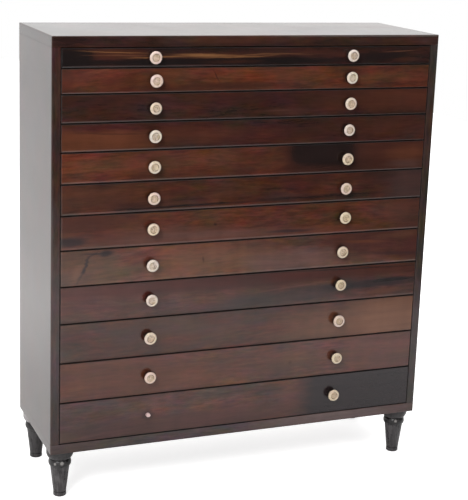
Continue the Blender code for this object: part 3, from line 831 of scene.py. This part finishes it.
lathe_group = make_lathe_group()
print(f"The lathe group has {len(lathe_group.nodes)} nodes")

# %% [markdown]
# One more tree sets turned pieces out in rows and columns: two knobs on a drawer front, or four
# legs under the case. Each copy is spun by a random angle, may be a little smaller than the
# largest, and is given a random tone number, all from a fixed seed, because no two pieces of
# bone or wood are alike. An edge sharper than thirty degrees keeps a crisp shade.

# %% Turned set
SHARP_ANGLE = math.radians(30)
SIZE_SEED_STEP = 3.0
TONE_SEED_STEP = 7.0


def make_turned_set_tree():
    tree, given = new_group("turned_set", "GeometryNodeTree", {
        "Outline": GEOMETRY, "Steps": 64, "Columns": 2, "Rows": 1, "Width": 0.4, "Depth": 0.0,
        "Middle": VECTOR, "Tilt": VECTOR, "Seed": 1, "Smallest": 1.0, "Finish": "NodeSocketMaterial",
    }, {"Geometry": GEOMETRY})

    def draw(seed, lowest=0.0):
        """A random number for each copy, between the lowest and one."""
        inputs = {"Min": lowest, "Max": 1.0, "Seed": seed}
        return put(tree, "FunctionNodeRandomValue", inputs, data_type="FLOAT").outputs[1]

    inputs = {"Outline": given["Outline"], "Steps": given["Steps"]}
    turned = put(tree, "GeometryNodeGroup", inputs, node_tree=lathe_group)
    corner = maths("GREATER_THAN", put(tree, "GeometryNodeInputMeshEdgeAngle"), SHARP_ANGLE)
    inputs = {"Geometry": turned, "Selection": corner, "Shade Smooth": False}
    crisp = put(tree, "GeometryNodeSetShadeSmooth", inputs, domain="EDGE")
    grid = put(tree, "GeometryNodeMeshGrid", {
        "Size X": given["Width"], "Size Y": given["Depth"],
        "Vertices X": given["Columns"], "Vertices Y": given["Rows"],
    })
    places = put(tree, "GeometryNodeSetPosition", {"Geometry": grid, "Offset": given["Middle"]})
    copies = put(tree, "GeometryNodeInstanceOnPoints", {
        "Points": places, "Instance": crisp, "Rotation": given["Tilt"],
        "Scale": draw(plus(given["Seed"], SIZE_SEED_STEP), given["Smallest"]),
    })
    spun = put(tree, "GeometryNodeRotateInstances", {
        "Instances": copies, "Rotation": xyz(0, 0, times(draw(given["Seed"]), 2 * math.pi)),
        "Local Space": True,
    })
    toned = put(tree, "GeometryNodeStoreNamedAttribute", {
        "Geometry": spun, "Name": "piece_tone", "Value": draw(plus(given["Seed"], TONE_SEED_STEP)),
    }, data_type="FLOAT", domain="INSTANCE")
    real = put(tree, "GeometryNodeRealizeInstances", {"Geometry": toned})
    finished = put(tree, "GeometryNodeSetMaterial", {"Geometry": real, "Material": given["Finish"]})
    put(tree, "NodeGroupOutput", {"Geometry": finished})
    return tree


turned_set_tree = make_turned_set_tree()


def make_outline(name, points):
    """An outline as a chain of points and edges, with the radius in X and the height in Z."""
    mesh = bpy.data.meshes.new(name)
    edges = [(index, index + 1) for index in range(len(points) - 1)]
    mesh.from_pydata([(radius, 0, height) for radius, height in points], edges, [])
    return mesh


def turn_pieces(name, outline, values):
    """Runs the turned set on an outline and returns its result as a plain mesh object."""
    holder = bpy.data.objects.new(f"{name}_outline", outline)
    modifier = holder.modifiers.new("turning", "NODES")
    modifier.node_group = turned_set_tree
    for item in turned_set_tree.interface.items_tree:
        if item.in_out == "INPUT" and item.name in values:
            modifier[item.identifier] = values[item.name]
    scene.collection.objects.link(holder)
    depsgraph = bpy.context.evaluated_depsgraph_get()
    mesh = bpy.data.meshes.new_from_object(
        holder.evaluated_get(depsgraph), preserve_all_data_layers=True, depsgraph=depsgraph,
    )
    bpy.data.objects.remove(holder)
    mesh.name = name
    piece = bpy.data.objects.new(name, mesh)
    scene.collection.objects.link(piece)
    return piece


def arc(middle, radii, start, end, steps=8):
    """Points of an elliptical arc as (radius, height), from one angle in degrees to another."""
    points = []
    for step in range(steps + 1):
        angle = math.radians(start + (end - start) * step / steps)
        points.append((middle[0] + radii[0] * math.cos(angle), middle[1] + radii[1] * math.sin(angle)))
    return points


print(f"The turned set has {len(turned_set_tree.nodes)} nodes")

# %% [markdown]
# ## Bone knobs
#
# A bone knob is turned on a small lathe and then handled for two centuries. The rim stays pale
# because fingers keep it clean. The sunk face is a little browner, with short dark strokes where
# dirt has filled the pores of the bone, and dirt stays in the corner at the foot of its wall,
# more on one side than on the other. Some knobs are cream, some pinkish and some nearly white,
# and a slow noise with a colour of its own turns each of them a little yellower or pinker.

# %% Bone
TONES.update({
    "bone_cream": (228, 208, 183), "bone_pink": (230, 205, 190), "bone_white": (230, 215, 200),
    "bone_tan": (196, 173, 146), "bone_dirt": (80, 58, 42), "bone_break": (224, 194, 192),
})
KNOB_FACE_RADIUS = 0.0081
KNOB_FACE_HEIGHT = 0.0142
KNOB_RIM_HEIGHT = 0.0160
FACE_TOP = KNOB_FACE_HEIGHT + 0.0011
BONE_TINT = (0.16, 0.12, 0.42)
STROKE_DEPTH = 0.00012
SMUDGE_DEPTH = 0.00005
HEAD_START = (0.0125, 0.0132)
FACE_CORNER = (0.0060, 0.0071)
FOOT_DARKENING = (0.002, 0.011)


def attribute(tree, name):
    return put(tree, "ShaderNodeAttribute", attribute_name=name).outputs["Fac"]


def make_bone():
    material, tree, shader, place = new_material("bone")
    radius = attribute(tree, "turn_radius")
    height = attribute(tree, "turn_height")
    piece_tone = attribute(tree, "piece_tone")
    warm = blend(fade(piece_tone, 0.25, 0.45), tone("bone_cream"), tone("bone_white"))
    warm = blend(fade(piece_tone, 0.60, 0.75), warm, tone("bone_pink"))
    above = fade(height, *HEAD_START)
    below_rim = times(above, fade(height, KNOB_FACE_HEIGHT, FACE_TOP, 1.0, 0.0))
    inner = fade(radius, KNOB_FACE_RADIUS, KNOB_FACE_RADIUS + 0.0004, 1.0, 0.0)
    face = times(below_rim, inner)
    smudge = noise(place, 150.0, 3.0)
    brown = times(face, fade(smudge, 0.30, 0.62, 0.25, 0.95))
    colour = blend(brown, warm, tone("bone_tan"))
    strokes = fade(noise(place, (450, 450, 260), 2.0, 0.6), 0.53, 0.66)
    strokes = times(times(strokes, face), 0.65)
    corner = times(face, fade(radius, *FACE_CORNER))
    corner = times(corner, fade(noise(place, 95.0, 1.0), 0.42, 0.58, 0.1, 0.9))
    # The neck and the underside of the head are painted darker towards the foot.
    foot = fade(height, *FOOT_DARKENING, 0.9, 0.0)
    rim_wear = fade(noise(place, 260.0), 0.50, 0.70, 0.0, 0.22)
    dirt = corner
    for other in (strokes, foot, rim_wear):
        dirt = maths("MAXIMUM", dirt, other)
    colour = blend(dirt, colour, tone("bone_dirt"))
    tint = noise(place, 45.0).outputs["Color"]
    tint = vector_maths("MULTIPLY_ADD", tint, BONE_TINT, [1 - swing / 2 for swing in BONE_TINT])
    colour = vector_maths("MULTIPLY", colour, tint)
    relief = maths("MULTIPLY_ADD", strokes, -STROKE_DEPTH, times(smudge, SMUDGE_DEPTH))
    finish_shader(shader, colour, fade(smudge, 0.3, 0.7, 0.28, 0.46), relief)
    return material


bone = make_bone()
print(f"The bone's finish has {len(bone.node_tree.nodes)} nodes")

# %% [markdown]
# The knob's outline starts at the small pin in the middle of its face and runs over the sunk
# face, up the rounded rim, down the outside and in under the head to the neck. It ends with
# the shank that goes through the drawer front.

# %% Knobs
KNOB_RADIUS = 0.0124
RIM_MIDDLE = 0.0087
RIM_FALL = 0.0036
SMALLEST_KNOB = 0.93
KNOB_NECK_RADIUS = 0.0052
KNOB_FOOT_RADIUS = 0.0066
SHANK_RADIUS = 0.0040
SEAT_GAP = 0.0003
KNOB_STEPS = 72
KNOB_TILT = (math.radians(90), 0, 0)
FIRST_KNOB_SEED = 40
front_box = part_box("drawer_01_front")
front_y = front_box[0].y
front_thickness = front_box[1].y - front_y


def knob_points():
    face = KNOB_FACE_HEIGHT
    rim = (RIM_MIDDLE, KNOB_RIM_HEIGHT - RIM_FALL)
    points = [(0, face + 0.0006)]
    points += arc((0.0009, face), (0.0008, 0.0006), 90, 0, 5)
    points += [(0.0028, face + 0.0001), (0.0042, face)]
    points += arc((0.0048, face), (0.0005, 0.0004), 180, 360, 6)
    points += [(0.0068, face - 0.0001)]
    points += arc((0.0068, face + 0.0010), (0.0011, 0.0011), -90, -15, 5)
    points += arc(rim, (KNOB_RADIUS - RIM_MIDDLE, RIM_FALL), 102, 0, 16)
    points += arc((0.0112, 0.0121), (0.0012, 0.0012), 0, -80, 6)
    points += arc((0.0112, 0.0054), (0.0060, 0.0052), 100, 180, 8)
    points += [(KNOB_NECK_RADIUS, 0.0040)]
    points += arc((KNOB_FOOT_RADIUS - 0.0012, 0.0014), (0.0012, 0.0011), 80, -80, 6)
    points += [(SHANK_RADIUS, SEAT_GAP), (SHANK_RADIUS, -front_thickness), (0, -front_thickness)]
    return points


knob_outline = make_outline("knob_outline", knob_points())


def knob_middle(node_name):
    low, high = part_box(node_name)
    return Vector(((low.x + high.x) / 2, front_y, (low.z + high.z) / 2))


for number in FRONTS:
    names = [f"drawer_{number:02d}_knob_left", f"drawer_{number:02d}_knob_right"]
    if number == len(FRONTS):
        names = names[1:]
    middles = [knob_middle(node_name) for node_name in names]
    middle = sum(middles, Vector()) / len(middles)
    knobs = turn_pieces(f"drawer_{number:02d}_knobs", knob_outline, {
        "Steps": KNOB_STEPS, "Columns": len(names), "Width": middles[-1].x - middles[0].x,
        "Middle": middle, "Tilt": KNOB_TILT, "Seed": FIRST_KNOB_SEED + number,
        "Smallest": SMALLEST_KNOB, "Finish": bone,
    })
    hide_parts(*names)
    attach(knobs, f"drawer_{number:02d}")
print(f"The one knob of the last drawer has {len(knobs.data.polygons)} faces")

# %% [markdown]
# ## Turned legs
#
# The legs were stained black to look like ebony, and the stain has worn to a streaky grey. Three
# pale spots in the rings of the front legs, each a shallow dent, are given by their place and
# their size. The back legs are painted darker than the front ones, a painted shade from the case
# above them, and the flange that shows at the back is painted a pale grey.

# %% Leg finish
TONES.update({
    "leg_black": (38, 35, 36), "leg_grey": (88, 84, 85), "leg_dark": (18, 16, 16),
    "leg_spot": (152, 148, 145), "leg_pale": (168, 163, 164),
})
CUFF_HEIGHT = 0.0088
PALE_SPOT_DEPTH = 0.0004
STREAK_DEPTH = 0.00012
PALE_SPOT_RAGGED = 0.0022
RING_START = (0.0625, 0.0645)
RING_END = (0.0790, 0.0830)
FLANGE_START = (0.080, 0.086)
PALE_FLANGE_START = (0.080, 0.084)
CUFF_LINE = (0.0004, 0.0013)
BEHIND = (0.0, 0.06)
PALE_SPOTS = (
    (-0.3870, -0.1080, 0.0727, 0.0025),
    (-0.3745, -0.1130, 0.0742, 0.0034),
    (0.3662, -0.1118, 0.0748, 0.0030),
)


def make_leg_finish():
    material, tree, shader, place = new_material("black_leg")
    height = attribute(tree, "turn_height")
    streaks = noise(place, (300, 300, 14), 3.0, 0.65)
    clouds = noise(place, 60.0, 3.0)
    grey = fade(streaks, 0.39, 0.61, 0.0, 0.70)
    grey = plus(grey, fade(clouds, 0.35, 0.65, 0.0, 0.30))
    behind = fade(parts(place)["Y"], *BEHIND)
    # The back legs keep less of the grey. This is painted shade, where the case shades them.
    grey = times(grey, fade(behind, 0.0, 1.0, 1.0, 0.45))
    grey = times(grey, fade(height, *FLANGE_START, 1.0, 0.3))
    colour = blend(grey, tone("leg_black"), tone("leg_grey"))
    # The flange of the back legs is painted a pale grey.
    pale_flange = times(behind, fade(height, *PALE_FLANGE_START, 0.0, 0.85))
    colour = blend(pale_flange, colour, tone("leg_pale"))
    in_ring = times(fade(height, *RING_START), fade(height, *RING_END, 1.0, 0.0))
    off_cuff = maths("ABSOLUTE", minus(height, CUFF_HEIGHT))
    cuff_dark = times(fade(off_cuff, *CUFF_LINE, 1.0, 0.0), 0.9)
    dark = maths("MAXIMUM", times(in_ring, 0.7), cuff_dark)
    colour = blend(dark, colour, tone("leg_dark"))
    # Pale spots on the rings of the front legs, each with a shallow dent.
    ragged = times(minus(noise(place, 700.0), 0.5), PALE_SPOT_RAGGED)
    spot_mask = 0.0
    for x, y, z, size in PALE_SPOTS:
        away = plus(vector_maths("DISTANCE", place, (x, y, z)).outputs["Value"], ragged)
        one_spot = fade(away, size * 0.6, size * 1.4, 0.9, 0.0)
        spot_mask = maths("MAXIMUM", spot_mask, one_spot)
    colour = blend(spot_mask, colour, tone("leg_spot"))
    relief = maths("MULTIPLY_ADD", spot_mask, -PALE_SPOT_DEPTH, times(streaks, STREAK_DEPTH))
    finish_shader(shader, colour, fade(clouds, 0.3, 0.7, 0.24, 0.42), relief)
    return material


leg_finish = make_leg_finish()
print(f"The legs' finish has {len(leg_finish.node_tree.nodes)} nodes")

# %% [markdown]
# A leg's outline runs from the tenon over a broad flange, in to a neck, round a ring, and down a
# long taper to a foot with one scored line. One turned set makes all four.

# %% Legs
FLANGE_RADIUS = 0.0267
FLANGE_BAND = 0.0095
FLANGE_SWEEP = 0.0105
SWEEP_STEPS = 9
TOP_ROUNDING = 0.0006
BAND_ROUNDING = 0.0008
NECK_RADIUS = 0.0192
RING_RADIUS = 0.0224
RING_THICKNESS = 0.0145
RING_FULLNESS = 0.47
SHOULDER_RADIUS = 0.0191
ANKLE_RADIUS = 0.0128
CUFF_DEPTH = 0.0008
FOOT_ROUNDING = 0.0018
TENON_RADIUS = 0.009
LEG_STEPS = 96
LEG_SEED = 5
LEG_NODES = ("leg_front_left", "leg_front_right", "leg_back_left", "leg_back_right")
case_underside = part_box("carcase_bottom")[0].z


def rounding(radius, height, size, start, end, steps):
    return arc((radius, height), (size, size), start, end, steps)


def leg_points():
    tenon_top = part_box(LEG_NODES[0])[1].z
    top = case_underside - SEAT_GAP
    band_end = top - FLANGE_BAND
    neck = band_end - FLANGE_SWEEP
    ring_end = neck - RING_THICKNESS
    points = [(0, tenon_top), (TENON_RADIUS, tenon_top), (TENON_RADIUS, top)]
    points += [(FLANGE_RADIUS - TOP_ROUNDING, top)]
    points += rounding(FLANGE_RADIUS - TOP_ROUNDING, top - TOP_ROUNDING, TOP_ROUNDING, 90, 0, 3)
    points += rounding(FLANGE_RADIUS - BAND_ROUNDING, band_end + BAND_ROUNDING, BAND_ROUNDING, 0, -60, 3)
    for step in range(1, SWEEP_STEPS + 1):
        share = step / SWEEP_STEPS
        angle = -math.pi / 2 * share
        reach = FLANGE_RADIUS - NECK_RADIUS
        bowed = NECK_RADIUS + reach * math.cos(angle)
        straight = FLANGE_RADIUS - reach * share
        drop = band_end + FLANGE_SWEEP * math.sin(angle)
        fall = band_end - FLANGE_SWEEP * share
        points.append(((bowed + straight) / 2, (drop + fall) / 2))
    ring_middle = neck - RING_THICKNESS / 2
    ring_radii = (RING_RADIUS - NECK_RADIUS, RING_FULLNESS * RING_THICKNESS)
    points += arc((NECK_RADIUS, ring_middle), ring_radii, 85, -78, 16)
    points += [(SHOULDER_RADIUS, ring_end), (ANKLE_RADIUS, CUFF_HEIGHT + CUFF_DEPTH)]
    points += [(ANKLE_RADIUS - CUFF_DEPTH, CUFF_HEIGHT), (ANKLE_RADIUS, CUFF_HEIGHT - CUFF_DEPTH)]
    points += rounding(ANKLE_RADIUS - FOOT_ROUNDING, FOOT_ROUNDING, FOOT_ROUNDING, 0, -90, 6)
    points += [(0, 0)]
    return points


def make_legs():
    boxes = [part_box(node_name) for node_name in LEG_NODES]
    middles = [(low + high) / 2 for low, high in boxes]
    left, right = middles[0].x, middles[1].x
    front, back = middles[0].y, middles[2].y
    legs = turn_pieces("turned_legs", make_outline("leg_outline", leg_points()), {
        "Steps": LEG_STEPS, "Columns": 2, "Rows": 2, "Width": right - left, "Depth": back - front,
        "Middle": ((left + right) / 2, (front + back) / 2, 0.0), "Seed": LEG_SEED, "Finish": leg_finish,
    })
    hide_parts(*LEG_NODES)
    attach(legs, "case")
    return legs


legs = make_legs()
print(f"The four legs have {len(legs.data.polygons)} faces")

# %% [markdown]
# ## The broken knob
#
# At the lower left a knob has snapped off at its neck, and only its shank is left in the hole.
# A break in bone is rough, slanted and cleaner than the rest, so the end of the stub is turned
# with extra rings, each of its points is pushed in or out by a little noise, and it has a finish
# of its own.

# %% Stub
STUB_NODE = f"drawer_{len(FRONTS):02d}_knob_left"
STUB_STEPS = 40
STUB_REACH = 0.0048
STUB_SLOPE = 0.40
STUB_ROUGHNESS = 0.0009
STUB_GRAIN = 900
STUB_SET_BACK = 0.3
STUB_SEED = 3
END_RINGS = 7
SIDE_RINGS = 3
BREAK_DEPTH = 0.0003


def make_broken_bone():
    material, _, shader, place = new_material("broken_bone")
    grain = noise(place, 900.0, 3.0)
    stained = fade(grain, 0.45, 0.75, 0.0, 0.5)
    colour = blend(stained, tone("bone_break"), tone("bone_tan"))
    finish_shader(shader, colour, 0.6, times(grain, BREAK_DEPTH))
    return material


def make_stub():
    rings = [(SHANK_RADIUS * ring / END_RINGS, STUB_REACH) for ring in range(END_RINGS + 1)]
    heights = [STUB_REACH * (SIDE_RINGS - ring) / (SIDE_RINGS + 1) for ring in range(SIDE_RINGS)]
    sides = [(SHANK_RADIUS, height) for height in heights]
    end = [(SHANK_RADIUS, -front_thickness), (0, -front_thickness)]
    outline = make_outline("stub_outline", rings + sides + end)
    middle = knob_middle(STUB_NODE)
    stub = turn_pieces("broken_knob", outline, {
        "Steps": STUB_STEPS, "Columns": 1, "Width": 0.0, "Middle": middle,
        "Tilt": KNOB_TILT, "Seed": STUB_SEED, "Finish": make_broken_bone(),
    })
    for vertex in stub.data.vertices:
        on_the_break = math.isclose(front_y - vertex.co.y, STUB_REACH, rel_tol=0.01)
        if not on_the_break:
            continue
        slant = (vertex.co.x - middle.x) * STUB_SLOPE
        rough = solid_noise.noise(vertex.co * STUB_GRAIN) * STUB_ROUGHNESS
        vertex.co.y -= slant + rough - SHANK_RADIUS * STUB_SLOPE * STUB_SET_BACK
    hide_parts(STUB_NODE)
    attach(stub, f"drawer_{len(FRONTS):02d}")
    return stub


stub = make_stub()
print(f"The stub has {len(stub.data.polygons)} faces")
